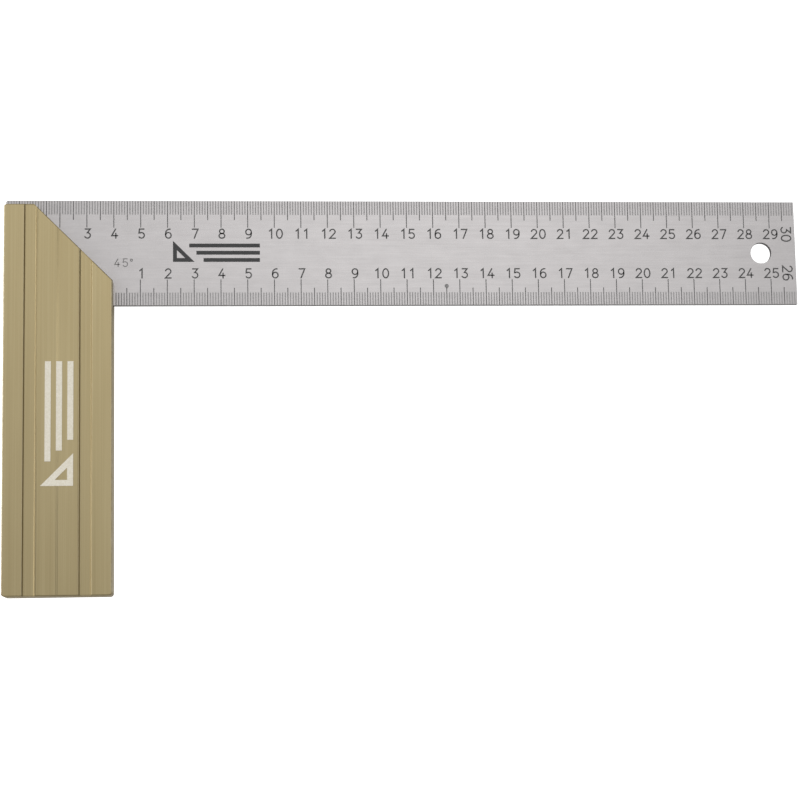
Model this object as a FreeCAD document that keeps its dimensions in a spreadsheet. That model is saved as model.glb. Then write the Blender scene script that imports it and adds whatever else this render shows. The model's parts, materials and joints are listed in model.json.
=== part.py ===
import FreeCAD, Part
import math
import os
import Sketcher

# Joiner's try square, in millimetres: a flat steel blade let into the end of an aluminium stock.
#
# The square lies on the stock's back face. +X runs along the blade to its free end, +Y runs up the
# stock to the blade's outer edge, and +Z is up, out of the stock's front face. The row's origin is
# the middle of the whole outline, on the back face. Every piece is drawn from the foot of the
# stock's outer edge, so that each drawn coordinate is positive, and its Placement then centres it.

# Driving dimensions: (alias, value, what it sets)
SIZES = [
    ("reach", 300.0, "stock's outer edge to the blade's free end"),
    ("blade_width", 40.0, "blade's inner edge to its outer edge"),
    ("blade_thick", 2.0, "thickness of the blade"),
    ("blade_proud", 2.6, "how far the blade's outer edge stands above the stock's head"),
    ("blade_setback", 0.2, "blade's tang end to the stock's outer edge, inside it"),
    ("tang_corner", 0.5, "corner cut off the tang where it stands above the stock"),
    ("hole_dia", 8.0, "hanging hole"),
    ("hole_setback", 13.5, "hanging hole's centre to the blade's free end"),
    ("stock_length", 145.2, "stock's foot to its head"),
    ("stock_width", 40.0, "stock's outer edge to its inner edge"),
    ("stock_thick", 14.0, "stock's back face to its front face"),
    ("head_width", 11.1, "width left square across the head beside the mitre"),
    ("corner_radius", 1.2, "rounded corners of the stock's outline"),
    ("arris", 0.4, "chamfer around the stock's faces"),
    ("rim_width", 7.4, "stock's long edge to the mouth of the nearest channel"),
    ("channel_width", 4.8, "mouth of a channel"),
    ("channel_depth", 0.6, "face to the floor of a channel"),
    ("channel_draft", 0.5, "how far each channel wall leans in from mouth to floor"),
    ("line_width", 0.9, "mouth of the hairline groove down the middle of each face"),
    ("line_depth", 0.05, "depth of the hairline groove"),
    ("slot_clearance", 0.05, "gap between the blade and each side of the slot"),
    ("pin_dia", 3.0, "dowel pins"),
    ("pin_press", 0.01, "how much smaller in radius the stock's pin holes are"),
    ("pin_slip", 0.03, "how much larger in radius the blade's pin holes are"),
    ("pin_grip", 3.0, "how far a pin reaches into the front cheek"),
    ("pin_tip", 0.4, "chamfer on each end of a pin"),
    ("pin_relief", 0.5, "blind hole's bottom to the pin's front end"),
    ("pin_seat", 6.0, "lower pins' centres to the slot's floor"),
    ("pin_pitch", 20.0, "distance between the two pins in the outer channel"),
]

# Sizes that follow from the driving ones: (alias, formula)
DERIVED = [
    ("blade_outer", "=stock_length + blade_proud"),
    ("blade_inner", "=blade_outer - blade_width"),
    ("blade_low", "=(stock_thick - blade_thick) / 2"),
    ("slot_low", "=blade_low - slot_clearance"),
    ("slot_high", "=blade_low + blade_thick + slot_clearance"),
    ("mitre_leg", "=stock_width - head_width"),
    ("channel_mid", "=rim_width + channel_width / 2"),
    ("pin_top", "=blade_low + blade_thick + pin_grip"),
    ("pin_low_y", "=blade_inner + pin_seat"),
    ("pin_high_y", "=pin_low_y + pin_pitch"),
    ("offset_x", "=-reach / 2"),
    ("offset_y", "=-blade_outer / 2"),
]

# The pins come up through the floors of the back channels: two in the outer one, one in the inner.
PIN_PLACES = [
    ("channel_mid", "pin_low_y"),
    ("channel_mid", "pin_high_y"),
    ("stock_width - channel_mid", "pin_low_y"),
]

# A coincidence tolerance for picking edges, well under the smallest size.
NEAR = 1e-4

document = FreeCAD.newDocument("try_square")
sheet = document.addObject("Spreadsheet::Sheet", "sizes")


def fill_sheet():
    """Write every size to the sheet: its name, its value under an alias, and a note."""
    rows = [(alias, str(value), note) for alias, value, note in SIZES]
    rows += [(alias, formula, "follows from the sizes above") for alias, formula in DERIVED]
    for row, (alias, content, note) in enumerate(rows, start=1):
        sheet.set(f"A{row}", alias)
        sheet.set(f"B{row}", content)
        sheet.set(f"C{row}", note)
        sheet.setAlias(f"B{row}", alias)
    document.recompute()


def bind(target, prop, formula):
    """Bind a property to a formula in the sheet's aliases, written here without the sheet's name."""
    target.setExpression(prop, in_sheet(formula))


def in_sheet(formula):
    """The same formula with every alias spelled as sizes.alias."""
    words = []
    for word in formula.replace("(", " ( ").replace(")", " ) ").split():
        words.append(f"sizes.{word}" if word[0].isalpha() else word)
    return " ".join(words)


def value_of(formula):
    """The number that a formula in the sheet's aliases has now."""
    return float(sheet.evalExpression(in_sheet(formula)))


def add_body(name):
    """An empty body whose Placement centres what is drawn in it on the row's origin."""
    body = document.addObject("PartDesign::Body", name)
    body.Label = name
    centre(body)
    return body


def centre(piece):
    """Bind a piece's Placement so that the outline's middle comes to X = Y = 0."""
    bind(piece, "Placement.Base.x", "offset_x")
    bind(piece, "Placement.Base.y", "offset_y")


def add_sketch(body, name, role, height="0"):
    """A sketch on one of the body's own origin planes, raised along its normal by a formula."""
    sketch = body.newObject("Sketcher::SketchObject", name)
    plane = [feature for feature in body.Origin.OriginFeatures if feature.Role == role][0]
    sketch.AttachmentSupport = (plane, "")
    sketch.MapMode = "FlatFace"
    if height != "0":
        bind(sketch, "AttachmentOffset.Base.z", height)
    document.recompute()
    return sketch


def pin_point(sketch, edge, end, across, up):
    """Hold one end of a sketch edge at two formulas; a 0 puts it on that axis."""
    for kind, formula, axis in (("DistanceX", across, -2), ("DistanceY", up, -1)):
        if formula == "0":
            sketch.addConstraint(Sketcher.Constraint("PointOnObject", edge, end, axis))
        else:
            rule = Sketcher.Constraint(kind, -1, 1, edge, end, value_of(formula))
            index = sketch.addConstraint(rule)
            bind(sketch, f"Constraints[{index}]", formula)


def add_polygon(sketch, corners):
    """Draw a closed outline through corners, each a pair of formulas."""
    points = [FreeCAD.Vector(value_of(across), value_of(up), 0) for across, up in corners]
    first = sketch.GeometryCount
    count = len(points)
    for index, start in enumerate(points):
        sketch.addGeometry(Part.LineSegment(start, points[(index + 1) % count]))
    for index, (across, up) in enumerate(corners):
        following = first + (index + 1) % count
        sketch.addConstraint(Sketcher.Constraint("Coincident", first + index, 2, following, 1))
        pin_point(sketch, first + index, 1, across, up)


def add_circle(sketch, across, up, radius):
    """Draw a circle from formulas for its centre and radius."""
    middle = FreeCAD.Vector(value_of(across), value_of(up), 0)
    circle = sketch.addGeometry(Part.Circle(middle, FreeCAD.Vector(0, 0, 1), value_of(radius)))
    pin_point(sketch, circle, 3, across, up)
    index = sketch.addConstraint(Sketcher.Constraint("Radius", circle, value_of(radius)))
    bind(sketch, f"Constraints[{index}]", radius)


def add_pad(body, sketch, name, length, reversed_way=False):
    """Raise a sketch into a solid by a formula."""
    pad = body.newObject("PartDesign::Pad", name)
    pad.Profile = sketch
    pad.Reversed = reversed_way
    bind(pad, "Length", length)
    document.recompute()
    return pad


def add_pocket(body, sketch, name, depth=None, along_normal=True):
    """Cut a sketch through everything or to a depth, along its normal or against it."""
    before = body.Shape.Volume
    pocket = body.newObject("PartDesign::Pocket", name)
    pocket.Profile = sketch
    pocket.Reversed = along_normal
    if depth is None:
        pocket.Type = "ThroughAll"
    else:
        bind(pocket, "Length", depth)
    document.recompute()
    if body.Shape.Volume >= before:
        raise RuntimeError(f"{name} cut nothing")
    return pocket


def edges_where(shape, test):
    """Names of the edges whose two ends both pass a test on a point."""
    found = []
    for number, edge in enumerate(shape.Edges, start=1):
        if all(test(vertex.Point) for vertex in edge.Vertexes):
            found.append(f"Edge{number}")
    return found


def is_near(first, second):
    """Whether two lengths are the same size."""
    return abs(first - second) < NEAR


def build_stock():
    """The stock: a drawn bar with channels in both faces, a mitred head and a slot for the blade."""
    body = add_body("stock")
    bar = add_sketch(body, "bar_section", "XZ_Plane")
    add_polygon(bar, [
        ("0", "0"),
        ("stock_width", "0"),
        ("stock_width", "stock_thick"),
        ("0", "stock_thick"),
    ])
    add_pad(body, bar, "bar", "stock_length", reversed_way=True)

    mitre = add_sketch(body, "mitre_outline", "XY_Plane")
    add_polygon(mitre, [
        ("head_width", "stock_length"),
        ("stock_width", "stock_length - mitre_leg"),
        ("stock_width", "stock_length"),
    ])
    add_pocket(body, mitre, "mitre")

    break_edges(body)
    cut_channels(body)

    slot = add_sketch(body, "slot_section", "YZ_Plane")
    add_polygon(slot, [
        ("blade_inner", "slot_low"),
        ("blade_outer", "slot_low"),
        ("blade_outer", "slot_high"),
        ("blade_inner", "slot_high"),
    ])
    add_pocket(body, slot, "slot")

    holes = add_sketch(body, "stock_pin_holes_outline", "XY_Plane")
    for across, up in PIN_PLACES:
        add_circle(holes, across, up, "pin_dia / 2 - pin_press")
    add_pocket(body, holes, "stock_pin_holes", "pin_top + pin_relief")
    return body


def cut_channels(body):
    """Cut the two channels and the hairline groove into the front and the back face."""
    grooves = [
        ("channel_mid", "channel_width", "channel_depth", "channel_draft"),
        ("stock_width - channel_mid", "channel_width", "channel_depth", "channel_draft"),
        ("stock_width / 2", "line_width", "line_depth", "line_width / 4"),
    ]
    section = add_sketch(body, "channel_section", "XZ_Plane")
    for middle, width, depth, draft in grooves:
        mouth = (f"{middle} - {width} / 2", f"{middle} + {width} / 2")
        floor = (f"{mouth[0]} + {draft}", f"{mouth[1]} - {draft}")
        for face, bottom in (("0", depth), ("stock_thick", f"stock_thick - {depth}")):
            add_polygon(section, [
                (mouth[0], face),
                (mouth[1], face),
                (floor[1], bottom),
                (floor[0], bottom),
            ])
    add_pocket(body, section, "channels", along_normal=False)


def break_edges(body):
    """Round three corners of the outline and chamfer the outline's edge on both faces."""
    length, width = value_of("stock_length"), value_of("stock_width")
    thick = value_of("stock_thick")
    base = body.Tip
    corners = ((0, 0), (width, 0), (0, length))
    upright = []
    for x, y in corners:
        upright += edges_where(base.Shape, lambda point: is_near(point.x, x) and is_near(point.y, y))
    rounding = body.newObject("PartDesign::Fillet", "rounded_corners")
    rounding.Base = (base, upright)
    bind(rounding, "Radius", "corner_radius")
    document.recompute()

    rim = []
    for number, edge in enumerate(rounding.Shape.Edges, start=1):
        middle = edge.valueAt((edge.FirstParameter + edge.LastParameter) / 2)
        level = is_near(edge.BoundBox.ZLength, 0)
        on_face = is_near(middle.z, 0) or is_near(middle.z, thick)
        if level and on_face and is_on_outline(middle):
            rim.append(f"Edge{number}")
    chamfer = body.newObject("PartDesign::Chamfer", "broken_arrises")
    chamfer.Base = (rounding, rim)
    bind(chamfer, "Size", "arris")
    document.recompute()


def is_on_outline(point):
    """Whether a point lies over the stock's outline, seen from above."""
    length, width = value_of("stock_length"), value_of("stock_width")
    radius, head = value_of("corner_radius"), value_of("head_width")
    on_sides = [point.x, width - point.x, point.y, length - point.y]
    if min(abs(side) for side in on_sides) < NEAR:
        return True
    if is_near(point.x - head, length - point.y):
        return True
    for x, y in ((radius, radius), (width - radius, radius), (radius, length - radius)):
        if is_near(math.hypot(point.x - x, point.y - y), radius):
            return True
    return False


def build_blade():
    """The blade: a steel strip with one corner of its tang cut off, pin holes and a hanging hole."""
    body = add_body("blade")
    outline = add_sketch(body, "blade_outline", "XY_Plane", "blade_low")
    add_polygon(outline, [
        ("blade_setback", "blade_inner"),
        ("reach", "blade_inner"),
        ("reach", "blade_outer"),
        ("blade_setback + tang_corner", "blade_outer"),
        ("blade_setback", "blade_outer - tang_corner"),
    ])
    add_pad(body, outline, "strip", "blade_thick")

    holes = add_sketch(body, "blade_holes_outline", "XY_Plane")
    add_circle(holes, "reach - hole_setback", "blade_inner + blade_width / 2", "hole_dia / 2")
    for across, up in PIN_PLACES:
        add_circle(holes, across, up, "pin_dia / 2 + pin_slip")
    add_pocket(body, holes, "blade_holes")
    return body


def build_pins():
    """The dowel pins: three chamfered pins, flush with the floors of the back channels."""
    pins = []
    for number, (across, up) in enumerate(PIN_PLACES, start=1):
        shank = add_primitive("Part::Cylinder", f"shank_{number}", across, up, "channel_depth + pin_tip")
        bind(shank, "Radius", "pin_dia / 2")
        bind(shank, "Height", "pin_top - channel_depth - 2 * pin_tip")
        back = add_primitive("Part::Cone", f"back_tip_{number}", across, up, "channel_depth")
        bind(back, "Radius1", "pin_dia / 2 - pin_tip")
        bind(back, "Radius2", "pin_dia / 2")
        bind(back, "Height", "pin_tip")
        front = add_primitive("Part::Cone", f"front_tip_{number}", across, up, "pin_top - pin_tip")
        bind(front, "Radius1", "pin_dia / 2")
        bind(front, "Radius2", "pin_dia / 2 - pin_tip")
        bind(front, "Height", "pin_tip")
        pin = document.addObject("Part::MultiFuse", f"pin_{number}")
        pin.Shapes = [shank, back, front]
        pins.append(pin)
    group = document.addObject("Part::Compound", "dowel_pins")
    group.Label = "dowel_pins"
    group.Links = pins
    centre(group)
    return group


def add_primitive(kind, name, across, up, height):
    """A Part primitive whose base stands at three formulas."""
    primitive = document.addObject(kind, name)
    bind(primitive, "Placement.Base.x", across)
    bind(primitive, "Placement.Base.y", up)
    bind(primitive, "Placement.Base.z", height)
    return primitive


def check_and_export(pieces):
    """Stop on anything that failed to compute, then write one STEP file for each piece."""
    document.recompute()
    for item in document.Objects:
        if {"Invalid", "Error"} & set(item.State):
            raise RuntimeError(f"{item.Label} failed: {item.State}")
    for piece in pieces:
        if piece.Shape.isNull() or not piece.Shape.isValid():
            raise RuntimeError(f"{piece.Label} has no valid shape")
    os.makedirs("parts", exist_ok=True)
    for piece in pieces:
        piece.Shape.exportStep(f"parts/{piece.Label}.step")
        box = piece.Shape.BoundBox
        print(f"{piece.Label}: {len(piece.Shape.Solids)} solid(s), {piece.Shape.Volume:.0f} mm3, "
              f"X {box.XMin:.2f}..{box.XMax:.2f}  Y {box.YMin:.2f}..{box.YMax:.2f}  "
              f"Z {box.ZMin:.2f}..{box.ZMax:.2f}")


fill_sheet()
check_and_export([build_stock(), build_blade(), build_pins()])
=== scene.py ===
"""Looks of a joiner's try square: a graduated stainless steel blade in an anodised aluminium stock.

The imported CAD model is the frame. Each class below is one sub-assembly: it holds its own sizes in
millimetres, works its surfaces out with numpy, and dresses them with the finishes. Everything is
in the CAD's axes: +X along the blade, +Y up the stock to the blade's outer edge, +Z out of the
graduated face, with the stock's back face on the floor at Z = 0.
"""
import json
import logging
import math
from dataclasses import dataclass, field
from enum import Enum

import bpy
import numpy as np
from bpy.types import Material, Node, NodeSocket, NodeTree, Object
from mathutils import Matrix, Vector


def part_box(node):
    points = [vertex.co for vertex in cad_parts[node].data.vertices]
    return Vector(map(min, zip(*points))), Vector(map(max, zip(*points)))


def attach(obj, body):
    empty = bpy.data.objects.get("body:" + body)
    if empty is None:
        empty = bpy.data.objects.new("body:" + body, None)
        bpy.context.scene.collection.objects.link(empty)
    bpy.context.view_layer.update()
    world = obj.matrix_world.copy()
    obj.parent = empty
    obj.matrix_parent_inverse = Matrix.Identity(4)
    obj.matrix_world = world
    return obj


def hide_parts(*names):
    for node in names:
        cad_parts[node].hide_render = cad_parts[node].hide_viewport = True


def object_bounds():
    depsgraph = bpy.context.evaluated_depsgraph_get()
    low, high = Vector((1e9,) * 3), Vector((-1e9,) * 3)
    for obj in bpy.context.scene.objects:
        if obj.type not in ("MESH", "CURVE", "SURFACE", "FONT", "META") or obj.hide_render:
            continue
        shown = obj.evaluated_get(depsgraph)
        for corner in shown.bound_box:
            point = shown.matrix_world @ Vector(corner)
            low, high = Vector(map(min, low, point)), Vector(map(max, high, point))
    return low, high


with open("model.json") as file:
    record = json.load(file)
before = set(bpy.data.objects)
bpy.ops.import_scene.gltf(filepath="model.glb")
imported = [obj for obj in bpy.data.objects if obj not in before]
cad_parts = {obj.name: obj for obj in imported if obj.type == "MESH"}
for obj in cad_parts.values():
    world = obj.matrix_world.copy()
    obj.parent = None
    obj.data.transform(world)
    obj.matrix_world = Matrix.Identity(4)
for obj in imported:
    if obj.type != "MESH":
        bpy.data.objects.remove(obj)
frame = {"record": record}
CAD_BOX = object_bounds()

LOG = logging.getLogger("try_square")
MM = 0.001                 # metres in a millimetre
SQUARE_TO_AXIS = 0.99999   # cosine past which a face counts as square to an axis
LIP_WEAR_AND_HIGHLIGHT = 0.18            # how far the wear and painted highlight spread from a groove's lip, in millimetres
NOISE_SPAN = (0.3, 0.7)    # the span that holds most of a noise's values
MITRE_LIMIT = 0.37         # least cosine of half a turn, so that a stroke's sharp corners stay short
DRILL_PAST = 1.0           # how far a drill starts outside the metal, in millimetres
BODY = "root"


# ---- Frame and mesh helpers ----

def node_box_mm(node: str) -> tuple[np.ndarray, np.ndarray]:
    """Give the lowest and the highest corner of a CAD node's box at rest, in millimetres."""
    low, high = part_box(node)
    return np.array(low) / MM, np.array(high) / MM


def mount_mm(name: str) -> tuple[np.ndarray, float]:
    """Give the place and the radius of one of the record's round mounts, in millimetres."""
    mount = next(entry for entry in frame["record"]["mounts"] if entry["name"] == name)
    return np.array(mount["pos_m"]) / MM, float(mount["dims"]["r_mm"])


def grid_quads(rows: int, columns: int, wrap_rows: bool = False, wrap_columns: bool = False) -> np.ndarray:
    """List the quads of a grid of points stored row by row.

    Each quad goes (r, c), (r, c + 1), (r + 1, c + 1), (r + 1, c), so it faces along
    (columns' way) x (rows' way).

    Args:
        rows: number of rows of points.
        columns: number of points in a row.
        wrap_rows: whether the last row joins the first.
        wrap_columns: whether the last column joins the first.

    Returns:
        An array of shape (quads, 4) of point numbers.
    """
    row = np.arange(rows if wrap_rows else rows - 1)[:, None]
    column = np.arange(columns if wrap_columns else columns - 1)[None, :]
    next_row, next_column = (row + 1) % rows, (column + 1) % columns
    corners = (row * columns + column, row * columns + next_column,
               next_row * columns + next_column, next_row * columns + column)
    return np.stack([corner.ravel() for corner in np.broadcast_arrays(*corners)], axis=1)


def tube_faces(rings: int, sides: int) -> list[list[int]]:
    """List the faces of a tube of rings stored one after another, with a flat cap at each end."""
    caps = [list(range(sides - 1, -1, -1)), list(range((rings - 1) * sides, rings * sides))]
    return grid_quads(rings, sides, wrap_columns=True).tolist() + caps


@dataclass
class Shell:
    """A surface being put together: points in millimetres and faces with a finish number each."""

    points: list[np.ndarray] = field(default_factory=list)
    faces: list[list[int]] = field(default_factory=list)
    finishes: list[int] = field(default_factory=list)

    def add(self, points: np.ndarray, faces: list[list[int]] | np.ndarray,
            finish: int | np.ndarray = 0) -> None:
        """Add a patch of surface.

        Args:
            points: array of shape (n, 3), in millimetres.
            faces: faces as lists of numbers into points.
            finish: one finish number for the patch, or one for each face.
        """
        start = sum(len(block) for block in self.points)
        listed = faces.tolist() if isinstance(faces, np.ndarray) else faces
        self.points.append(np.asarray(points, float))
        self.faces += [[start + corner for corner in face] for face in listed]
        self.finishes += np.broadcast_to(finish, len(listed)).tolist()

    def build(self, name: str, *materials: Material, merge_mm: float = 0.0) -> Object:
        """Make the mesh object, at the origin and unscaled, with its place in its points.

        Args:
            name: name of the new object.
            materials: its finishes, in the order of the finish numbers.
            merge_mm: distance under which points become one; 0 keeps them all.

        Returns:
            The new object, linked to the scene.
        """
        points = np.concatenate(self.points)
        faces, finishes = self.faces, self.finishes
        if merge_mm > 0:
            points, faces, finishes = weld(points, faces, finishes, merge_mm)
        mesh = bpy.data.meshes.new(name)
        mesh.from_pydata((points * MM).tolist(), [], faces)
        mesh.polygons.foreach_set("material_index", finishes)
        for material in materials:
            mesh.materials.append(material)
        mesh.update()
        piece = bpy.data.objects.new(name, mesh)
        bpy.context.scene.collection.objects.link(piece)
        return piece


def weld(points: np.ndarray, faces: list[list[int]], finishes: list[int],
         reach: float) -> tuple[np.ndarray, list[list[int]], list[int]]:
    """Merge points that share a cell of a grid of the given size, and drop the faces that collapse.

    Args:
        points: array of shape (n, 3).
        faces: faces as lists of numbers into points.
        finishes: one finish number for each face.
        reach: side of a cell.

    Returns:
        The kept points, the faces in their numbers, and those faces' finishes.
    """
    cells = np.round(points / reach).astype(np.int64)
    _, first, renumbered = np.unique(cells, axis=0, return_index=True, return_inverse=True)
    renumbered = renumbered.ravel()
    kept_faces, kept_finishes = [], []
    for face, finish in zip(faces, finishes):
        corners = list(dict.fromkeys(int(renumbered[corner]) for corner in face))
        if len(corners) > 2:
            kept_faces.append(corners)
            kept_finishes.append(finish)
    return points[first], kept_faces, kept_finishes


def shade(piece: Object, degrees: float) -> None:
    """Shade faces that lie square to an axis flat, and the rest smooth up to an angle.

    Args:
        piece: the piece, with its final mesh.
        degrees: the angle past which two smooth faces meet at a sharp edge.
    """
    mesh = piece.data
    mesh.set_sharp_from_angle(angle=math.radians(degrees))
    normals = np.zeros(len(mesh.polygons) * 3, np.float32)
    mesh.polygons.foreach_get("normal", normals)
    square = np.abs(normals.reshape(-1, 3)).max(axis=1) > SQUARE_TO_AXIS
    mesh.polygons.foreach_set("use_smooth", ~square)
    mesh.update()


def apply_modifiers(piece: Object) -> None:
    """Put what a piece's modifiers make into its own mesh, and take the modifiers off.

    Args:
        piece: the piece.
    """
    shown = piece.evaluated_get(bpy.context.evaluated_depsgraph_get())
    mesh = bpy.data.meshes.new_from_object(shown)
    mesh.name = piece.data.name
    piece.modifiers.clear()
    piece.data = mesh


def drill(piece: Object, places: np.ndarray, radius: float, low: float, high: float) -> None:
    """Cut upright round holes in a piece.

    Args:
        piece: a closed mesh object.
        places: array of shape (holes, 2) of centres in X and Y, in millimetres.
        radius: radius of the holes, in millimetres.
        low: height of the holes' lower ends, in millimetres.
        high: height of the holes' upper ends, in millimetres.
    """
    cutter_shell = Shell()
    for place in places:
        cutter_shell.add(*round_bar(place, np.array([[radius, low], [radius, high]])))
    cutter = cutter_shell.build("cutter")
    cut = piece.modifiers.new("holes", "BOOLEAN")
    cut.operation = "DIFFERENCE"
    cut.solver = "EXACT"
    cut.object = cutter
    apply_modifiers(piece)
    bpy.data.objects.remove(cutter)


def round_bar(place: np.ndarray, profile: np.ndarray, sides: int = 48
              ) -> tuple[np.ndarray, list[list[int]]]:
    """Turn a profile about an upright axis: (x, y, z) = place + radius * (cos a, sin a), height.

    Args:
        place: X and Y of the axis, in millimetres.
        profile: array of shape (rings, 2) of radius and height, from the bottom up.
        sides: number of points in each ring.

    Returns:
        The points and the faces of the closed bar.
    """
    angle = np.linspace(0, 2 * math.pi, sides, endpoint=False)
    radius, height = profile[:, :1], profile[:, 1:]
    points = np.stack([place[0] + radius * np.cos(angle), place[1] + radius * np.sin(angle),
                       height + 0 * angle], axis=-1)
    return points.reshape(-1, 3), tube_faces(len(profile), sides)


# ---- Materials ----

def srgb(hex_colour: str) -> tuple[float, float, float, float]:
    """Turn an sRGB hex colour into linear RGBA.

    Args:
        hex_colour: the colour, such as "c3c1c1".

    Returns:
        Its linear red, green, blue and alpha.
    """
    shares = np.array([int(hex_colour[start:start + 2], 16) for start in (0, 2, 4)]) / 255
    linear = np.where(shares <= 0.04045, shares / 12.92, ((shares + 0.055) / 1.055) ** 2.4)
    return (*linear.tolist(), 1.0)


def add_node(tree: NodeTree, kind: str, sockets: dict | None = None, **settings) -> Node:
    """Add one shader node.

    Args:
        tree: node tree that gets the node.
        kind: Blender's name of the node's type.
        sockets: input name or number to a value, or to another node's output socket to link.
        settings: the node's own properties.

    Returns:
        The new node.
    """
    node = tree.nodes.new(kind)
    for name, value in settings.items():
        setattr(node, name, value)
    for name, value in (sockets or {}).items():
        if isinstance(value, NodeSocket):
            tree.links.new(value, node.inputs[name])
        else:
            node.inputs[name].default_value = value
    return node


def new_material(name: str) -> tuple[Material, NodeTree, Node]:
    """Make a material with one Principled shader.

    Args:
        name: name of the material.

    Returns:
        The material, its node tree and the shader.
    """
    material = bpy.data.materials.new(name)
    material.use_nodes = True
    tree = material.node_tree
    return material, tree, next(node for node in tree.nodes if node.type == "BSDF_PRINCIPLED")


def stretched_noise(tree: NodeTree, sizes_mm: tuple[float, float, float], detail: float = 2.0,
                    seed: float = 0.0) -> NodeSocket:
    """Noise on Object coordinates whose grains have a real size along each axis.

    Args:
        tree: material's node tree.
        sizes_mm: length of a grain along X, Y and Z, in millimetres.
        detail: octaves of finer noise on top.
        seed: shifts the pattern, so that two layers differ.

    Returns:
        The noise's output, mostly within NOISE_SPAN.
    """
    place = add_node(tree, "ShaderNodeTexCoord")
    mapping = add_node(tree, "ShaderNodeMapping", {
        "Vector": place.outputs["Object"],
        "Location": (seed, seed, seed),
        "Scale": tuple(1 / (size * MM) for size in sizes_mm),
    })
    noise = add_node(tree, "ShaderNodeTexNoise", {
        "Vector": mapping.outputs[0], "Scale": 1.0, "Detail": detail, "Roughness": 0.55,
    })
    return noise.outputs["Fac"]


def remap(tree: NodeTree, value: NodeSocket, start: float, end: float,
          low: float = 0.0, high: float = 1.0, curve: str = "LINEAR") -> NodeSocket:
    """Carry the span from start to end to low and high, and hold the value there beyond it."""
    node = add_node(tree, "ShaderNodeMapRange", {
        "Value": value, "From Min": start, "From Max": end, "To Min": low, "To Max": high,
    }, interpolation_type=curve)
    return node.outputs["Result"]


def calculate(tree: NodeTree, operation: str, *values: NodeSocket | float) -> NodeSocket:
    """Work out one step of arithmetic on values."""
    node = add_node(tree, "ShaderNodeMath", dict(enumerate(values)), operation=operation)
    return node.outputs[0]


def tint(tree: NodeTree, factor: NodeSocket, dark: str | NodeSocket,
         light: str) -> NodeSocket:
    """Mix two colours.

    Args:
        tree: material's node tree.
        factor: share of the second colour, from 0 to 1.
        dark: first colour, in sRGB hex or as a node's output.
        light: second colour, in sRGB hex.

    Returns:
        The mixed colour.
    """
    first = srgb(dark) if isinstance(dark, str) else dark
    node = add_node(tree, "ShaderNodeMix", {0: factor, 6: first, 7: srgb(light)}, data_type="RGBA")
    return node.outputs[2]


class Grain(Enum):
    """Which way a worked surface's lines run, as the axis they are long in."""

    ALONG_X = 0
    ALONG_Y = 1
    ALONG_Z = 2

    def sizes(self, length: float, width: float) -> tuple[float, float, float]:
        """Give the grain sizes that make lines of a length and a width.

        Args:
            length: length of a line, in millimetres.
            width: its width, in millimetres.

        Returns:
            The grain's sizes along X, Y and Z.
        """
        sizes = [width, width, width]
        sizes[self.value] = length
        return tuple(sizes)


@dataclass(frozen=True)
class WorkedMetal:
    """A bare or anodised metal with the lines that its making left in it.

    Two layers of stretched noise give the lines. Real grinding and drawing lines are a few
    hundredths of a millimetre wide, too fine to show from a metre, so both layers draw them wider.
    A third, broad layer clouds the tone.
    """

    name: str
    dark: str
    light: str
    roughness: tuple[float, float]
    grain: Grain
    coarse_mm: tuple[float, float] = (40.0, 0.5)
    fine_mm: tuple[float, float] = (12.0, 0.08)
    cloud_mm: tuple[float, float] = (60.0, 60.0)
    bump_mm: float = 0.004
    # Pale colour mixed in by the mesh's attribute: part wear to bare metal, part painted highlight.
    wear: str | None = None

    def build(self) -> Material:
        """Make the material.

        Returns:
            The material.
        """
        material, tree, shader = new_material(self.name)
        coarse = stretched_noise(tree, self.grain.sizes(*self.coarse_mm), detail=3.0)
        fine = stretched_noise(tree, self.grain.sizes(*self.fine_mm), seed=7.3)
        cloud = stretched_noise(tree, self.grain.sizes(*self.cloud_mm), seed=3.1)
        total = calculate(tree, "ADD", calculate(tree, "ADD", coarse, fine), cloud)
        mean = calculate(tree, "DIVIDE", total, 3.0)
        colour = tint(tree, remap(tree, mean, 0.38, 0.62), self.dark, self.light)
        if self.wear:
            colour = self.worn(tree, colour)
        tree.links.new(colour, shader.inputs["Base Color"])
        tree.links.new(remap(tree, coarse, *NOISE_SPAN, *self.roughness), shader.inputs["Roughness"])
        shader.inputs["Metallic"].default_value = 1.0
        bump = add_node(tree, "ShaderNodeBump", {
            "Height": fine, "Strength": 0.35, "Distance": self.bump_mm * MM,
        })
        tree.links.new(bump.outputs[0], shader.inputs["Normal"])
        return material

    def worn(self, tree: NodeTree, colour: NodeSocket) -> NodeSocket:
        """Mix in a pale colour, part bare metal from wear and part painted highlight, where the mesh's
        attribute for it and a fine noise both say so.

        Args:
            tree: material's node tree.
            colour: colour of the surface without wear or painted highlight.

        Returns:
            The colour with wear and painted highlight mixed in.
        """
        wear = add_node(tree, "ShaderNodeAttribute", attribute_name="wear")
        patches = stretched_noise(tree, (2.0, 2.0, 2.0), detail=4.0, seed=5.7)
        patchy = remap(tree, patches, *NOISE_SPAN, 0.15, 1.0)
        return tint(tree, calculate(tree, "MULTIPLY", wear.outputs["Fac"], patchy), colour, self.wear)


@dataclass(frozen=True)
class MarkingInk:
    """A thin, matt coat on metal, such as an etch-blackened line or screen-printed ink."""

    name: str
    dark: str
    light: str
    roughness: float

    def build(self) -> Material:
        """Make the material: a matt colour, slightly uneven because the coat is thin.

        Returns:
            The material.
        """
        material, tree, shader = new_material(self.name)
        uneven = remap(tree, stretched_noise(tree, (0.6, 0.6, 0.6), detail=3.0), 0.35, 0.65)
        tree.links.new(tint(tree, uneven, self.dark, self.light), shader.inputs["Base Color"])
        shader.inputs["Roughness"].default_value = self.roughness
        return material


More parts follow.
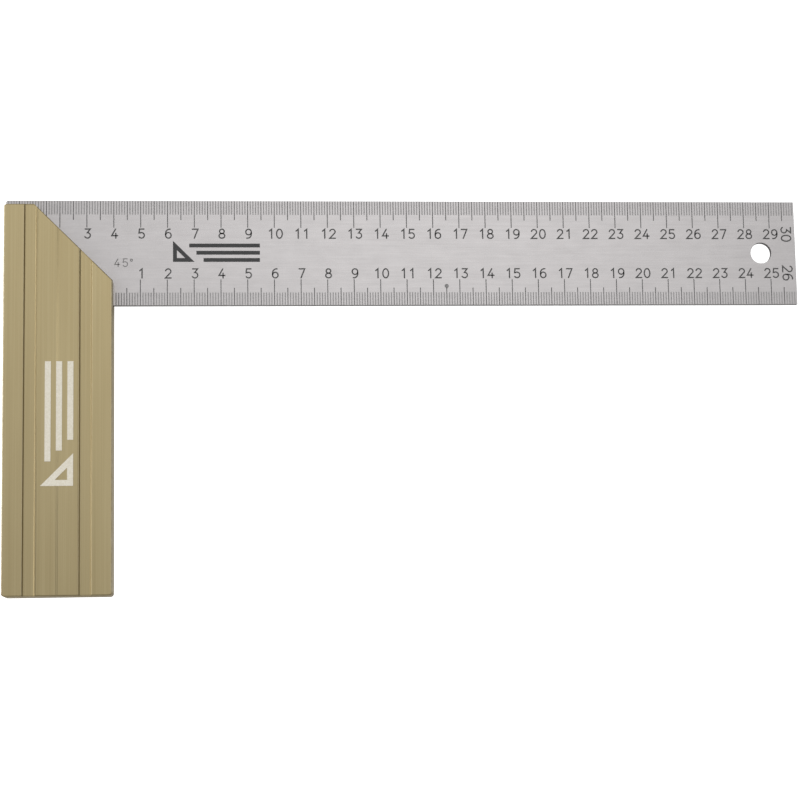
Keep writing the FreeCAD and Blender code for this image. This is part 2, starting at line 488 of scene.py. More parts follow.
class Finishes:
    """Every finish of the square, each built once."""

    def __init__(self) -> None:
        """Build the materials."""
        # Stainless strip, belt-ground lengthwise: a pale neutral satin with fine level streaks.
        self.blade_face = WorkedMetal("ground_stainless_steel", "aeabab", "b7b4b4", (0.38, 0.42),
                                      Grain.ALONG_X, coarse_mm=(30.0, 0.9), fine_mm=(14.0, 0.4),
                                      cloud_mm=(7.0, 4.0), bump_mm=0.002).build()
        # The same steel on the sheared and ground edges: rougher, and its base colour darkened as painted
        # shade on these edge faces.
        self.blade_edge = WorkedMetal("sheared_stainless_edge_painted_shade", "5d5b5a", "777574", (0.45, 0.60),
                                      Grain.ALONG_Z, coarse_mm=(3.0, 0.3)).build()
        # Aluminium bar, drawn through a die and champagne anodised: warm satin with long straight lines,
        # and a pale edge colour that is part wear, part painted highlight on arrises and lips.
        self.stock_face = WorkedMetal("champagne_anodised_aluminium", "a79873", "b3a580", (0.40, 0.46),
                                      Grain.ALONG_Y, coarse_mm=(220.0, 1.4), fine_mm=(120.0, 0.5),
                                      cloud_mm=(90.0, 12.0), bump_mm=0.002, wear="ddd5bf").build()
        # The bar's ends and mitre, sawn and milled before anodising: duller, with lines across, and a
        # darker base colour that paints the shade on the ends and their breaks.
        self.stock_end = WorkedMetal("sawn_anodised_aluminium_painted_shade", "918364", "a39571", (0.48, 0.60),
                                     Grain.ALONG_Z, coarse_mm=(12.0, 0.4)).build()
        # Hardened dowel steel, centreless ground.
        self.pin = WorkedMetal("ground_dowel_steel", "8b8a89", "a3a2a0", (0.30, 0.40), Grain.ALONG_Z,
                               coarse_mm=(4.0, 0.2)).build()
        # Figures etched into the steel and blackened: matt dark grey.
        self.black_etch = MarkingInk("blackened_etch", "434242", "535252", 0.62).build()
        # The scales' long lines: the same etch, shallower, so the blackening in them is thinner.
        self.long_line_etch = MarkingInk("thin_blackened_etch", "5a5959", "6a6969", 0.60).build()
        # The millimetre lines: shallowest of all. A real one is narrower and darker than it is drawn
        # here, and would show unevenly from a metre.
        self.short_line_etch = MarkingInk("grey_line_etch", "918f8f", "9d9b9b", 0.60).build()
        # Light etch, as on the angle figure: only a little darker than the steel.
        self.pale_etch = MarkingInk("light_etch", "7c7a7a", "8a8888", 0.60).build()
        # Screen-printed ink on the steel: solid near-black.
        self.dark_print = MarkingInk("dark_printing_ink", "2b2b2c", "343435", 0.50).build()
        # Screen-printed ink on the anodising: warm white.
        self.white_print = MarkingInk("white_printing_ink", "e4ddca", "efe9da", 0.50).build()


# ---- Strokes: slabs that follow a path, for every line, figure and printed mark ----

def arc(centre: tuple[float, float], radii: tuple[float, float], start: float, end: float,
        steps: int = 14) -> np.ndarray:
    """Points along an ellipse, centre + (rx cos a, ry sin a), from one angle in degrees to another."""
    angle = np.radians(np.linspace(start, end, steps + 1))
    return np.stack([centre[0] + radii[0] * np.cos(angle), centre[1] + radii[1] * np.sin(angle)], axis=1)


def joined(*runs: np.ndarray | list[tuple[float, float]]) -> np.ndarray:
    """Join runs of points into one path."""
    return np.concatenate([np.asarray(run, float) for run in runs])


@dataclass(frozen=True)
class Stroke:
    """One stroke of an engraver's figure, in a cell one unit high."""

    path: np.ndarray
    closed: bool = False


# The single-stroke figures of an engraving machine. Each cell is 1 high, and its middle is at 0.
FIGURES: dict[str, list[Stroke]] = {
    "0": [Stroke(arc((0, 0.5), (0.31, 0.5), 90, 446.4, 27), closed=True)],
    "1": [Stroke(joined([(-0.16, 0.80), (0.08, 1.0), (0.08, 0)]))],
    "2": [Stroke(joined(arc((0, 0.72), (0.29, 0.28), 165, -25), [(-0.30, 0), (0.31, 0)]))],
    "3": [Stroke(joined([(-0.27, 1.0), (0.27, 1.0), (-0.03, 0.60)],
                        arc((-0.02, 0.30), (0.31, 0.30), 85, -150)))],
    "4": [Stroke(joined([(0.10, 1.0), (-0.31, 0.27), (0.33, 0.27)])),
          Stroke(joined([(0.13, 0.52), (0.13, 0)]))],
    "5": [Stroke(joined([(0.26, 1.0), (-0.22, 1.0), (-0.27, 0.56)],
                        arc((-0.01, 0.31), (0.31, 0.31), 125, -145)))],
    "6": [Stroke(arc((0, 0.31), (0.30, 0.31), 90, 437, 23), closed=True),
          Stroke(joined(arc((0.12, 0.50), (0.42, 0.50), 80, 195)))],
    "7": [Stroke(joined([(-0.30, 1.0), (0.30, 1.0), (-0.10, 0)]))],
    "8": [Stroke(arc((0, 0.76), (0.25, 0.24), 90, 437, 21), closed=True),
          Stroke(arc((0, 0.26), (0.31, 0.26), 90, 437, 23), closed=True)],
    "9": [Stroke(arc((0, 0.69), (0.30, 0.31), 90, 437, 23), closed=True),
          Stroke(joined(arc((-0.12, 0.50), (0.42, 0.50), 15, -100)))],
    "o": [Stroke(arc((0, 0.84), (0.14, 0.14), 90, 430, 16), closed=True)],
}


def stroke_slab(path: np.ndarray, width: float, low: float, high: float, closed: bool,
                rounded: bool = True) -> tuple[np.ndarray, list[list[int]]]:
    """Carry a flat rectangle along a path.

    At each station the two sides stand half the width out along the path's normal, lengthened by
    1 / cos(half the turn) where the path turns, so that the sides keep their width.

    Args:
        path: array of shape (n, 2) in millimetres.
        width: width of the stroke.
        low: height of its underside.
        high: height of its top.
        closed: whether the path's end joins its start.
        rounded: whether an open path's ends are half round.

    Returns:
        The points and the faces of the closed slab.
    """
    half = np.full(len(path), width / 2)
    if not closed and rounded:
        path, half = round_ends(path, width)
    before = path - np.roll(path, 1, axis=0)
    after = np.roll(path, -1, axis=0) - path
    if not closed:
        before[0], after[-1] = after[0], before[-1]
    before /= np.linalg.norm(before, axis=1, keepdims=True)
    after /= np.linalg.norm(after, axis=1, keepdims=True)
    tangent = before + after
    tangent /= np.maximum(np.linalg.norm(tangent, axis=1, keepdims=True), 1e-9)
    stretch = 1 / np.clip(np.sum(tangent * after, axis=1), MITRE_LIMIT, 1)
    normal = np.stack([-tangent[:, 1], tangent[:, 0]], axis=1) * (half * stretch)[:, None]
    left, right = path + normal, path - normal
    stations = len(path)
    points = np.zeros((stations, 4, 3))
    points[:, 0, :2], points[:, 1, :2], points[:, 2, :2], points[:, 3, :2] = left, right, right, left
    points[:, :2, 2], points[:, 2:, 2] = high, low
    ringed = grid_quads(stations, 4, wrap_rows=True, wrap_columns=True).tolist()
    return points.reshape(-1, 3), ringed if closed else tube_faces(stations, 4)


def round_ends(path: np.ndarray, width: float) -> tuple[np.ndarray, np.ndarray]:
    """Lengthen an open path by half a width each way and narrow it there as a half circle does.

    A station s beyond the end is (width / 2) sin(a) out and has half the width times cos(a).

    Args:
        path: array of shape (n, 2).
        width: width of the stroke.

    Returns:
        The longer path, and half the width at each of its stations.
    """
    angle = np.radians([80.0, 55.0, 28.0])
    first = (path[0] - path[1]) / np.linalg.norm(path[0] - path[1])
    last = (path[-1] - path[-2]) / np.linalg.norm(path[-1] - path[-2])
    out, share = np.sin(angle) * width / 2, np.cos(angle) * width / 2
    longer = np.concatenate([path[0] + out[:, None] * first, path, path[-1] + out[::-1, None] * last])
    return longer, np.concatenate([share, np.full(len(path), width / 2), share[::-1]])


def turned(points: np.ndarray, degrees: float) -> np.ndarray:
    """Turn points in the plane about the origin, anticlockwise."""
    angle = math.radians(degrees)
    return points @ np.array([[math.cos(angle), math.sin(angle)], [-math.sin(angle), math.cos(angle)]])


@dataclass
class Engraver:
    """Cuts figures of one size into a flat face."""

    low: float
    high: float
    height: float = 3.45
    stroke: float = 0.50
    pitch: float = 3.2

    def write(self, shell: Shell, text: str, middle: tuple[float, float], turn: float = 0.0) -> None:
        """Add a row of figures, centred on a point.

        Args:
            shell: surface that gets the strokes.
            text: the figures.
            middle: centre of the row, in millimetres.
            turn: anticlockwise turn of the row, in degrees.
        """
        offset = np.array([0, -self.height / 2])
        for place, figure in enumerate(text):
            across = (place - (len(text) - 1) / 2) * self.pitch
            for stroke in FIGURES[figure]:
                path = turned(stroke.path * self.height + offset + (across, 0), turn) + middle
                shell.add(*stroke_slab(path, self.stroke, self.low, self.high, stroke.closed))


# ---- The blade ----

@dataclass(frozen=True)
class Scale:
    """One long edge's scale: where its zero and edge lie, and the lengths of its 1, 5 and 10 mm lines."""

    name: str
    zero: float
    edge: float
    inward: int
    lines: tuple[float, float, float]
    figures: range
    figure_drop: float
    figure_shift: float


@dataclass
class Blade:
    """The steel strip: its body, its two scales, its angle figure and its printed mark."""

    finishes: Finishes
    setback_corner: float = 0.5
    hole_sides: int = 96
    columns: int = 25
    edge_round: float = 0.12
    pin_hole_slip: float = 0.03
    mark_high: float = 0.012
    mark_low: float = 0.030
    edge_gap: float = 0.14
    line_width: float = 0.34
    fine_line_width: float = 0.42
    stock_width: float = 40.0
    outer_scale_shift: float = 0.15
    end_figure_inset: float = 3.4
    end_figure_height: float = 3.7
    angle_figure: tuple[float, float] = (42.9, 23.7)
    degree_sign_shift: float = 3.8
    index_dot: tuple[float, float] = (125.0, 7.3)
    index_dot_radius: float = 0.8
    emblem: tuple[float, float] = (78.4, 19.9)
    emblem_size: tuple[float, float] = (32.5, 7.0)

    def __post_init__(self) -> None:
        """Read the blade's box and hole from the frame."""
        self.low, self.high = node_box_mm("blade")
        self.hole, self.hole_radius = mount_mm("hanging_hole")
        self.datum = node_box_mm("stock")[0][0]
        self.top = self.high[2]
        outer_zero, inner_zero = self.datum + self.outer_scale_shift, self.datum + self.stock_width
        self.scales = (
            Scale("outer_scale", outer_zero, self.high[1], -1, (5.3, 7.4, 10.3), range(3, 31), 12.6, 0.3),
            Scale("inner_scale", inner_zero, self.low[1], 1, (4.9, 6.7, 9.9), range(1, 27), 12.2, 0.35),
        )

    def build_body(self, pins: "Pins") -> Object:
        """Make the strip: a flat outline with a round hole, raised to its thickness, edges eased.

        The outline is two patches. Round the hole, a point at angle a and share v lies v of the way
        from the hole's circle to where the ray at a leaves a rectangle as wide as the blade. The
        rest of the strip is a grid whose rows follow that rectangle's near side. The tang's corner
        is cut off at 45 degrees: the grid's first column steps in by as much as y passes the cut.

        Args:
            pins: the dowel pins, whose places the tang's holes repeat.

        Returns:
            The strip.
        """
        centre, radius = self.hole[:2], self.hole_radius
        half = (self.high[1] - self.low[1]) / 2
        near = centre[0] - half
        cut_y = self.high[1] - self.setback_corner
        corners = [(near, self.low[1]), (near, self.high[1]), (near, cut_y),
                   (self.high[0], self.low[1]), (self.high[0], self.high[1])]
        fixed = [math.atan2(y - centre[1], x - centre[0]) for x, y in corners]
        even = np.linspace(-math.pi, math.pi, self.hole_sides, endpoint=False)
        angle = np.unique(np.round(np.concatenate([even, fixed]), 9))
        cosine, sine = np.cos(angle), np.sin(angle)
        reach_x = np.where(cosine > 0, self.high[0] - centre[0], centre[0] - near)
        reach = np.minimum(reach_x / np.maximum(np.abs(cosine), 1e-9),
                           half / np.maximum(np.abs(sine), 1e-9))
        share = np.array([0, 0.12, 0.4, 1.0])[:, None]
        distance = radius + share * (reach - radius)
        ring = np.stack([centre[0] + distance * cosine, centre[1] + distance * sine], axis=-1)

        near_side = np.isclose(ring[-1, :, 0], near, atol=1e-6)
        rows = np.unique(np.round(ring[-1, near_side, 1], 7))
        across = np.linspace(0, 1, self.columns)[None, :]
        start = self.low[0] + np.clip(rows - cut_y, 0, None)[:, None]
        strip_x = start + across * (near - start)
        strip = np.stack([strip_x, np.broadcast_to(rows[:, None], strip_x.shape)], axis=-1)

        shell = Shell()
        patches = ((ring.reshape(-1, 2), grid_quads(len(share), len(angle), wrap_columns=True)),
                   (strip.reshape(-1, 2), grid_quads(len(rows), self.columns)))
        for height, order in ((self.top, (0, 1, 2, 3)), (self.low[2], (3, 2, 1, 0))):
            for number, (flat, quads) in enumerate(patches):
                points = np.column_stack([flat, np.full(len(flat), height)])
                way = order if number else order[::-1]
                shell.add(points, quads[:, way])
        self.add_wall(shell, ring[0][::-1])
        outline = [strip[:, 0][::-1], strip[0, 1:], ring[-1, ~near_side & (ring[-1, :, 1] < centre[1])],
                   ring[-1, ~near_side & (ring[-1, :, 1] >= centre[1])], strip[-1, :0:-1]]
        self.add_wall(shell, np.concatenate(outline))
        body = shell.build("blade_strip", self.finishes.blade_face, self.finishes.blade_edge, merge_mm=1e-4)
        easing = body.modifiers.new("eased_edges", "BEVEL")
        easing.width = self.edge_round * MM
        easing.segments = 2
        easing.limit_method = "ANGLE"
        easing.angle_limit = math.radians(50)
        easing.material = 0
        apply_modifiers(body)
        drill(body, pins.places, pins.radius + self.pin_hole_slip, self.low[2] - DRILL_PAST,
              self.top + DRILL_PAST)
        shade(body, 35)
        return body

    def add_wall(self, shell: Shell, loop: np.ndarray) -> None:
        """Add the upright wall under a closed loop that runs anticlockwise round the metal.

        Args:
            shell: surface that gets the wall.
            loop: array of shape (n, 2) of the loop's points.
        """
        count = len(loop)
        points = np.concatenate([np.column_stack([loop, np.full(count, height)])
                                 for height in (self.low[2], self.top)])
        # Finish 1 is the edge steel, whose darkened colour paints the shade on these walls.
        shell.add(points, grid_quads(2, count, wrap_columns=True), 1)

    def build_lines(self, scale: Scale) -> Object:
        """Make one scale's millimetre lines as thin slabs sunk in the face.

        Line k stands k millimetres from the scale's zero. It is longest where k divides by 10,
        middling where it divides by 5 only, and short elsewhere.

        Args:
            scale: the scale.

        Returns:
            The lines as one piece.
        """
        minor, middle, major = scale.lines
        count = np.arange(1, int(round(self.high[0] - scale.zero)))
        x = scale.zero + count
        keep = x > self.low[0] + self.setback_corner + self.line_width
        x, count = x[keep], count[keep]
        length = np.where(count % 10 == 0, major, np.where(count % 5 == 0, middle, minor))
        half = np.where(count % 5 == 0, self.line_width, self.fine_line_width) / 2
        side = np.array([-1, 1, 1, -1]) * scale.inward
        far = np.array([0, 0, 1, 1])
        y = scale.edge + scale.inward * (self.edge_gap + far[None, :] * (length[:, None] - self.edge_gap))
        flat_x = x[:, None] + half[:, None] * side[None, :]
        layers = [np.stack([flat_x, y, np.full_like(y, height)], axis=-1)
                  for height in (self.top - self.mark_low, self.top + self.mark_high)]
        points = np.concatenate(layers, axis=1).reshape(-1, 3)
        box = np.array([[3, 2, 1, 0], [4, 5, 6, 7], [0, 1, 5, 4], [1, 2, 6, 5], [2, 3, 7, 6], [3, 0, 4, 7]])
        faces = (box[None] + 8 * np.arange(len(x))[:, None, None]).reshape(-1, 4)
        shell = Shell()
        shell.add(points, faces, np.repeat(np.where(count % 5 == 0, 1, 0), len(box)))
        return shell.build(f"{scale.name}_lines", self.finishes.short_line_etch,
                           self.finishes.long_line_etch)

    def build_figures(self, scale: Scale) -> Object:
        """Make one scale's centimetre figures; the last, at the blade's end, reads downwards.

        Args:
            scale: the scale.

        Returns:
            The figures as one piece.
        """
        engraver = Engraver(self.top - self.mark_low, self.top + self.mark_high)
        shell = Shell()
        middle = scale.edge + scale.inward * scale.figure_drop
        *upright, last = scale.figures
        for number in upright:
            engraver.write(shell, str(number), (scale.zero + scale.figure_shift + 10 * number, middle))
        engraver.height = self.end_figure_height
        engraver.write(shell, str(last), (self.high[0] - self.end_figure_inset, middle), turn=-90)
        return shell.build(f"{scale.name}_figures", self.finishes.black_etch)

    def build_angle_figure(self) -> Object:
        """Make the small, lightly etched 45 degree figure beside the stock's mitre.

        Returns:
            The figure as one piece.
        """
        shell = Shell()
        engraver = Engraver(self.top - self.mark_low, self.top + self.mark_high, height=2.9, stroke=0.36,
                            pitch=3.0)
        across, down = self.datum + self.angle_figure[0], self.high[1] - self.angle_figure[1]
        engraver.write(shell, "45", (across, down))
        engraver.write(shell, "o", (across + self.degree_sign_shift, down))
        return shell.build("angle_figure", self.finishes.pale_etch)

    def build_index_dot(self) -> Object:
        """Make the etched dot that heads the 125 mm line of the inner scale.

        Returns:
            The dot.
        """
        shell = Shell()
        across, up = self.index_dot
        place = np.array([self.datum + self.stock_width + across, self.low[1] + up])
        profile = np.array([[self.index_dot_radius, self.top - self.mark_low],
                            [self.index_dot_radius, self.top + self.mark_high]])
        shell.add(*round_bar(place, profile, sides=32))
        return shell.build("index_dot", self.finishes.pale_etch)

    def build_marks(self) -> list[Object]:
        """Make every mark on the face, each as one piece.

        Returns:
            The pieces.
        """
        across, down = self.emblem
        emblem = PrintedMark("blade_emblem", (self.datum + across, self.high[1] - down), *self.emblem_size,
                             0.0, self.top, self.finishes.dark_print)
        return [*map(self.build_lines, self.scales), *map(self.build_figures, self.scales),
                self.build_angle_figure(), self.build_index_dot(), emblem.build()]


# ---- The pins ----

@dataclass
class Pins:
    """The dowel pins: turned bars with a chamfer at each end."""

    finishes: Finishes
    radius: float = 1.5
    tip: float = 0.4

    def __post_init__(self) -> None:
        """Work out the pins' places from the stock's and the blade's boxes."""
        self.low, self.high = node_box_mm("dowel_pins")
        left, right = self.low[0] + self.radius, self.high[0] - self.radius
        lower, upper = self.low[1] + self.radius, self.high[1] - self.radius
        self.places = np.array([[left, lower], [left, upper], [right, lower]])

    def build(self) -> Object:
        """Make the three pins.

        Returns:
            The pins as one piece.
        """
        profile = np.array([[self.radius - self.tip, self.low[2]], [self.radius, self.low[2] + self.tip],
                            [self.radius, self.high[2] - self.tip], [self.radius - self.tip, self.high[2]]])
        shell = Shell()
        for place in self.places:
            shell.add(*round_bar(place, profile))
        piece = shell.build("ground_pins", self.finishes.pin)
        shade(piece, 30)
        return piece


# ---- The stock ----

class Flank(Enum):
    """How a groove's side goes down from its lip, as a share of the depth."""

    ROUNDED = 0
    HOLLOW = 1

    def share(self, way: np.ndarray) -> np.ndarray:
        """Rise from 0 at the lip to 1 at the floor, for the share of the side's width gone.

        A rounded side is 3 s^2 - 2 s^3, level at both ends. A hollow one is 1 - (1 - s)^2, steepest
        at the lip.
        """
        way = np.clip(way, 0, 1)
        return way ** 2 * (3 - 2 * way) if self is Flank.ROUNDED else 1 - (1 - way) ** 2


@dataclass
class Groove:
    """A straight groove along the stock: where its lips are, and how each side goes down."""

    lips: tuple[float, float]
    depth: float
    leans: tuple[float, float]
    flanks: tuple[Flank, Flank] = (Flank.ROUNDED, Flank.ROUNDED)

    def drop(self, x: np.ndarray) -> np.ndarray:
        """How far the face has dropped at x: the depth times the lesser of the two sides' shares."""
        sides = ((x - self.lips[0]) / self.leans[0], (self.lips[1] - x) / self.leans[1])
        return self.depth * np.minimum(*(flank.share(side) for flank, side in zip(self.flanks, sides)))

    def stations(self, steps: int = 8) -> np.ndarray:
        """Find where the section needs points to follow this groove.

        Args:
            steps: number of steps down each side.

        Returns:
            The x values.
        """
        ramp = np.linspace(0, 1, steps + 1)
        left = self.lips[0] + np.append(ramp * self.leans[0], -LIP_WEAR_AND_HIGHLIGHT)
        right = self.lips[1] - np.append(ramp * self.leans[1], -LIP_WEAR_AND_HIGHLIGHT)
        return np.concatenate([left, right])


class StockFace(Enum):
    """Which finish each part of the stock's surface takes."""

    DRAWN = 0
    # Sawn faces take the darker end material, whose colour is partly painted shade.
    SAWN = 1


@dataclass
class Stock:
    """The drawn aluminium bar with its channels, mitred head and blade slot."""

    finishes: Finishes
    head_width: float = 11.1
    corner_radius: float = 1.2
    long_break: float = 0.38
    end_break: float = 0.4
    slot_clearance: float = 0.05
    rim: float = 7.4
    channel_mouth: float = 4.8
    channel_depth: float = 0.6
    rim_lean: float = 0.55
    panel_lean: float = 0.7
    panel_drop: float = 0.09
    panel_edge: float = 0.45
    hairline_mouth: float = 0.9
    hairline_depth: float = 0.015
    pin_hole_gap: float = 0.02
    pin_relief: float = 0.5
    # Reach and strength of the pale arris and lip colour: part wear, part painted highlight.
    arris_wear_reach: float = 1.6
    lip_wear: float = 0.25
    emblem: tuple[float, float] = (20.6, 82.2)
    emblem_size: tuple[float, float] = (46.0, 10.4)

    def __post_init__(self) -> None:
        """Read the stock's box and the slot's place from the frame."""
        self.low, self.high = node_box_mm("stock")
        blade_low, blade_high = node_box_mm("blade")
        self.width = self.high[0] - self.low[0]
        self.half_thick = (self.high[2] - self.low[2]) / 2
        self.mid_height = (self.high[2] + self.low[2]) / 2
        self.slot_half = (blade_high[2] - blade_low[2]) / 2 + self.slot_clearance
        self.slot_floor = blade_low[1]
        near, far = self.rim, self.rim + self.channel_mouth
        self.channels = [
            Groove((near, far), self.channel_depth, (self.rim_lean, self.panel_lean),
                   (Flank.ROUNDED, Flank.HOLLOW)),
            Groove((self.width - far, self.width - near), self.channel_depth,
                   (self.panel_lean, self.rim_lean), (Flank.HOLLOW, Flank.ROUNDED)),
        ]
        middle, reach = self.width / 2, self.hairline_mouth / 2
        self.grooves = [
            *self.channels,
            Groove((far, self.width - far), self.panel_drop, (self.panel_edge,) * 2, (Flank.HOLLOW,) * 2),
            Groove((middle - reach, middle + reach), self.hairline_depth, (reach * 0.8,) * 2),
        ]

    def section_stations(self) -> np.ndarray:
        """Find the section's points, from the outer edge to the inner edge.

        Returns:
            Their x values.
        """
        quarter = 1 - np.cos(np.linspace(0, math.pi / 2, 7))
        breaks = [quarter * self.long_break, self.width - quarter * self.long_break]
        corners = [quarter * self.corner_radius, self.width - quarter * self.corner_radius]
        ribs = [groove.stations() for groove in self.grooves]
        plain = [np.array([self.head_width])]
        return np.unique(np.round(np.concatenate(breaks + corners + ribs + plain), 6))

    def half_height(self, x: np.ndarray) -> np.ndarray:
        """Half the bar's thickness at x: flat, less the grooves, with long edges broken at 45 degrees.

        Args:
            x: distances from the stock's outer edge.

        Returns:
            Half the thickness at each.
        """
        edge = np.minimum(x, self.width - x)
        fall = np.clip(self.long_break - edge, 0, None)
        return self.half_thick - fall - sum(groove.drop(x) for groove in self.grooves)

    def foot(self, x: np.ndarray) -> np.ndarray:
        """Y of the stock's foot at x: square, with both corners quarter round.

        Args:
            x: distances from the stock's outer edge.

        Returns:
            The foot's Y at each.
        """
        edge = np.minimum(x, self.width - x)
        inside = np.clip(self.corner_radius - edge, 0, self.corner_radius)
        return self.low[1] + self.corner_radius - np.sqrt(self.corner_radius ** 2 - inside ** 2)

    def head(self, x: np.ndarray) -> np.ndarray:
        """Y of the stock's head at x: square, then falling at 45 degrees, outer corner round.

        Args:
            x: distances from the stock's outer edge.

        Returns:
            The head's Y at each.
        """
        inside = np.clip(self.corner_radius - x, 0, self.corner_radius)
        corner = self.corner_radius - np.sqrt(self.corner_radius ** 2 - inside ** 2)
        return self.high[1] - corner - np.clip(x - self.head_width, 0, None)

    def build_body(self, pins: Pins) -> Object:
        """Make the bar as closed rings, one for each x of the section, with flat walls at both ends.

        A ring lies in a plane of constant x. It runs up the front face from foot to head, down into
        the slot and out again, and back along the rear face. The breaks at foot and head are a
        45 degree plane that takes the lower of the face's height and half thickness - (break - d)
        at a distance d from the end, so it trims the rims and leaves the channel floors whole.

        Args:
            pins: the dowel pins, whose places the holes repeat.

        Returns:
            The bar.
        """
        x = self.section_stations()
        face, foot, head = self.half_height(x), self.foot(x), self.head(x)
        inset = np.array([0.0, 0.25, 0.6, 1.0]) * self.end_break
        limit = self.half_thick - (self.end_break - inset)
        y_front = [foot + step for step in inset] + [head - step for step in inset[::-1]]
        z_front = [np.minimum(face, top) for top in limit] + [np.minimum(face, top) for top in limit[::-1]]
        slot = np.full_like(x, self.slot_half)
        floor = np.full_like(x, self.slot_floor)
        y = np.stack(y_front + [head, floor, floor, head] + y_front[::-1], axis=1)
        z = np.stack(z_front + [slot, slot, -slot, -slot] + [-height for height in z_front[::-1]], axis=1)
        rings, around = y.shape
        across = np.broadcast_to(x[:, None] + self.low[0], y.shape)
        points = np.stack([across, y, z + self.mid_height], axis=-1)
        # Only the front and rear faces are drawn; the rest take the darker sawn material, whose colour is
        # partly painted shade.
        drawn_steps = [3, around - 5]
        step = np.tile(np.arange(around), rings - 1)
        finish = np.where(np.isin(step, drawn_steps), StockFace.DRAWN.value, StockFace.SAWN.value)
        shell = Shell()
        shell.add(points.reshape(-1, 3), tube_faces(rings, around),
                  np.append(finish, [StockFace.DRAWN.value] * 2))
        body = shell.build("stock_bar", self.finishes.stock_face, self.finishes.stock_end)
        # Pale arris and lip colour: part wear, part painted highlight.
        self.mark_wear(body)
        drill(body, pins.places, pins.radius + self.pin_hole_gap, self.low[2] - DRILL_PAST,
              pins.high[2] + self.pin_relief)
        shade(body, 32)
        return body

    def mark_wear(self, body: Object) -> None:
        """Write how much pale colour each face corner gets, part wear and part painted highlight: most on
        the long arrises and lips, none on the two sides.

        The mark falls evenly from 1 at an arris, and from less at a channel's lip. The sides are the
        last two faces of the mesh.

        Args:
            body: the bar, before its holes are drilled.
        """
        mesh = body.data
        place = np.zeros(len(mesh.vertices) * 3, np.float32)
        mesh.vertices.foreach_get("co", place)
        x = place.reshape(-1, 3)[:, 0] / MM - self.low[0]
        edge = np.minimum(x, self.width - x)
        worn = np.clip(1 - edge / (self.arris_wear_reach * self.long_break), 0, 1)
        for lip in (lip for channel in self.channels for lip in channel.lips):
            worn = np.maximum(worn, self.lip_wear * np.clip(1 - np.abs(x - lip) / LIP_WEAR_AND_HIGHLIGHT, 0, 1))
        corner_points = np.zeros(len(mesh.loops), np.int32)
        mesh.loops.foreach_get("vertex_index", corner_points)
        at_corners = worn[corner_points].astype(np.float32)
        at_corners[mesh.polygons[-2].loop_start:] = 0
        # This attribute sets the pale colour: part wear, part painted highlight.
        layer = mesh.attributes.new("wear", "FLOAT", "CORNER")
        layer.data.foreach_set("value", at_corners)

    def build_emblem(self) -> Object:
        """Make the white emblem, which reads up the stock."""
        across, down = self.emblem
        return PrintedMark("stock_emblem", (self.low[0] + across, self.high[1] - down), *self.emblem_size,
                           90.0, self.high[2], self.finishes.white_print).build()


# ---- The printed marks ----

@dataclass
class PrintedMark:
    """A plain emblem: an open set-square triangle beside three bars, centred on a point.

    The bars' weight, their gap from the triangle and the step between their starts are shares of
    the emblem's height.
    """

    name: str
    centre: tuple[float, float]
    length: float
    height: float
    turn: float
    face: float
    material: Material
    weight: float = 0.21
    bar_gap: float = 0.35
    bar_step: float = 0.38
    film: float = 0.015

    def build(self) -> Object:
        """Make the emblem as slabs that stand a film's thickness out of the face.

        Returns:
            The emblem as one piece.
        """
        shell = Shell()
        line = self.height * self.weight
        side = self.height - line
        left = -self.length / 2 + line / 2
        triangle = np.array([(left, -side / 2), (left + side, -side / 2), (left, side / 2)])
        self.add_stroke(shell, triangle, line, closed=True)
        for row in (-1, 0, 1):
            start = left + side + self.height * (self.bar_gap - row * self.bar_step)
            y = row * side / 2
            self.add_stroke(shell, np.array([(start, y), (self.length / 2, y)]), line, closed=False)
        return shell.build(self.name, self.material)

    def add_stroke(self, shell: Shell, path: np.ndarray, width: float, closed: bool) -> None:
        """Add one stroke of the emblem, turned and moved to its place.

        Args:
            shell: surface that gets the stroke.
            path: its path, about the emblem's centre.
            width: its width.
            closed: whether its end joins its start.
        """
        placed = turned(path, self.turn) + self.centre
        low, high = self.face - 2 * self.film, self.face + self.film
        shell.add(*stroke_slab(placed, width, low, high, closed, rounded=False))


# ---- The studio ----

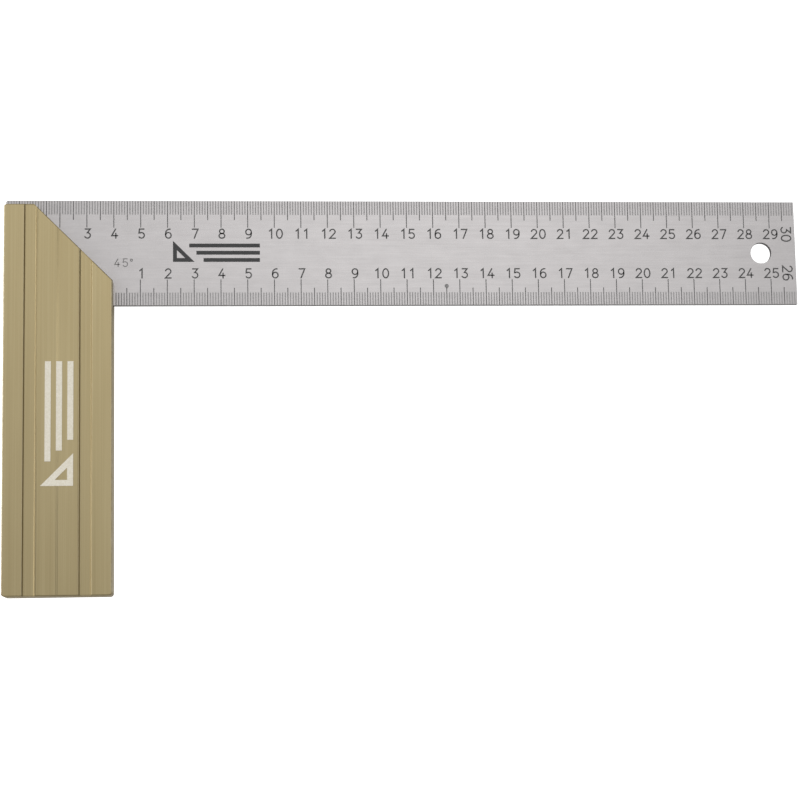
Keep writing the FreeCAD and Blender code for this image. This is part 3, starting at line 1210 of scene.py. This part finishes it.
@dataclass
class Studio:
    """A white light table under a soft panel and a sky, and the camera above it."""

    floor_half: float = 2500.0
    glow: float = 0.18
    glow_seen: float = 0.8
    sky_above: tuple[float, float] = (0.44, 0.66)
    sky_left: float = 2.4
    sky_right: float = 0.36
    sky_front: float = 0.45
    panel_place: tuple[float, float, float] = (130, 370, 1300)
    panel_size: tuple[float, float] = (780, 500)
    panel_watts: float = 2.35
    camera_place: tuple[float, float, float] = (-70.6, -109.9, 783.9)
    camera_turn: tuple[float, float, float] = (7.959, -4.804, -1.009)
    lens: float = 94.5
    sensor: float = 36.0

    def build(self) -> None:
        """Make floor, lights, sky and camera."""
        self.build_floor()
        self.build_sky()
        self.build_panel()
        self.build_camera()
        view = bpy.context.scene.view_settings
        view.view_transform = "Standard"
        view.look = "None"

    def build_floor(self) -> None:
        """Make the table's top, a hair under the stock's back face so the two don't share a plane."""
        half, height = self.floor_half, CAD_BOX[0][2] / MM - 0.05
        shell = Shell()
        shell.add(np.array([(-half, -half, height), (half, -half, height), (half, half, height),
                            (-half, half, height)]), [[0, 1, 2, 3]])
        floor = shell.build("light_table")
        # Opal acrylic lit from below: a matt white that stays bright in the object's shade.
        material, tree, shader = new_material("opal_acrylic")
        cloud = remap(tree, stretched_noise(tree, (400.0,) * 3), *NOISE_SPAN)
        tree.links.new(tint(tree, cloud, "e0e0e0", "e4e4e4"), shader.inputs["Base Color"])
        shader.inputs["Roughness"].default_value = 0.7
        shader.inputs["Emission Color"].default_value = srgb("ffffff")
        seen = add_node(tree, "ShaderNodeLightPath").outputs["Is Camera Ray"]
        glow = calculate(tree, "MULTIPLY_ADD", seen, self.glow_seen, self.glow)
        tree.links.new(glow, shader.inputs["Emission Strength"])
        floor.data.materials.append(material)

    def build_sky(self) -> None:
        """Make the light from all round, by the direction that it comes from.

        Overhead it is even, a little stronger towards the blade's side. Low down it is strong at
        the left and weak at the right and in front, which gives arrises and grooves a light side
        and a dark one.
        """
        world = bpy.data.worlds.new("studio_sky")
        bpy.context.scene.world = world
        world.use_nodes = True
        tree = world.node_tree
        background = next(node for node in tree.nodes if node.type == "BACKGROUND")
        place = add_node(tree, "ShaderNodeTexCoord")
        x, y, z = add_node(tree, "ShaderNodeSeparateXYZ", {0: place.outputs["Generated"]}).outputs
        above = remap(tree, y, -0.05, 0.25, *self.sky_above)
        side = remap(tree, x, -0.8, 0.4, self.sky_left, self.sky_right, curve="SMOOTHSTEP")
        low = calculate(tree, "MULTIPLY", side, remap(tree, y, -0.9, 0.3, self.sky_front, 1.0))
        height = remap(tree, z, 0.4, 0.92, curve="SMOOTHSTEP")
        strength = add_node(tree, "ShaderNodeMix", {0: height, 2: low, 3: above})
        background.inputs["Color"].default_value = (1, 1, 1, 1)
        tree.links.new(strength.outputs[0], background.inputs["Strength"])

    def build_panel(self) -> None:
        """Make the rectangular soft light overhead, turned to face the object."""
        light = bpy.data.lights.new("overhead_panel", "AREA")
        light.shape = "RECTANGLE"
        light.size, light.size_y = (side * MM for side in self.panel_size)
        light.energy = self.panel_watts
        panel = bpy.data.objects.new("overhead_panel", light)
        panel.location = Vector(self.panel_place) * MM
        panel.rotation_euler = (-panel.location).to_track_quat("-Z", "Y").to_euler()
        bpy.context.scene.collection.objects.link(panel)

    def build_camera(self) -> None:
        """Make the camera: a long lens over the table, a few degrees off square to it."""
        camera = bpy.data.cameras.new("camera")
        camera.lens = self.lens
        camera.sensor_width = self.sensor
        camera.clip_end = 20.0
        holder = bpy.data.objects.new("camera", camera)
        holder.location = Vector(self.camera_place) * MM
        holder.rotation_euler = tuple(math.radians(turn) for turn in self.camera_turn)
        bpy.context.scene.collection.objects.link(holder)
        bpy.context.scene.camera = holder


# ---- Assembly ----

def place_piece(piece: Object, replaces: str | None = None) -> None:
    """Hand a finished piece to the frame.

    Args:
        piece: the piece, in place.
        replaces: the CAD node that it stands for, if any.
    """
    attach(piece, BODY)
    if replaces:
        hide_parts(replaces)
    triangles = sum(len(polygon.vertices) - 2 for polygon in piece.data.polygons)
    LOG.info("%s: %d triangles", piece.name, triangles)


def main() -> None:
    """Build the square and its studio, in order."""
    logging.basicConfig(level=logging.INFO, format="%(name)s: %(message)s")
    finishes = Finishes()
    pins, blade, stock = Pins(finishes), Blade(finishes), Stock(finishes)
    place_piece(pins.build(), "dowel_pins")
    place_piece(stock.build_body(pins), "stock")
    place_piece(blade.build_body(pins), "blade")
    for mark in (*blade.build_marks(), stock.build_emblem()):
        place_piece(mark)
    Studio().build()


if __name__ == "__main__":
    main()
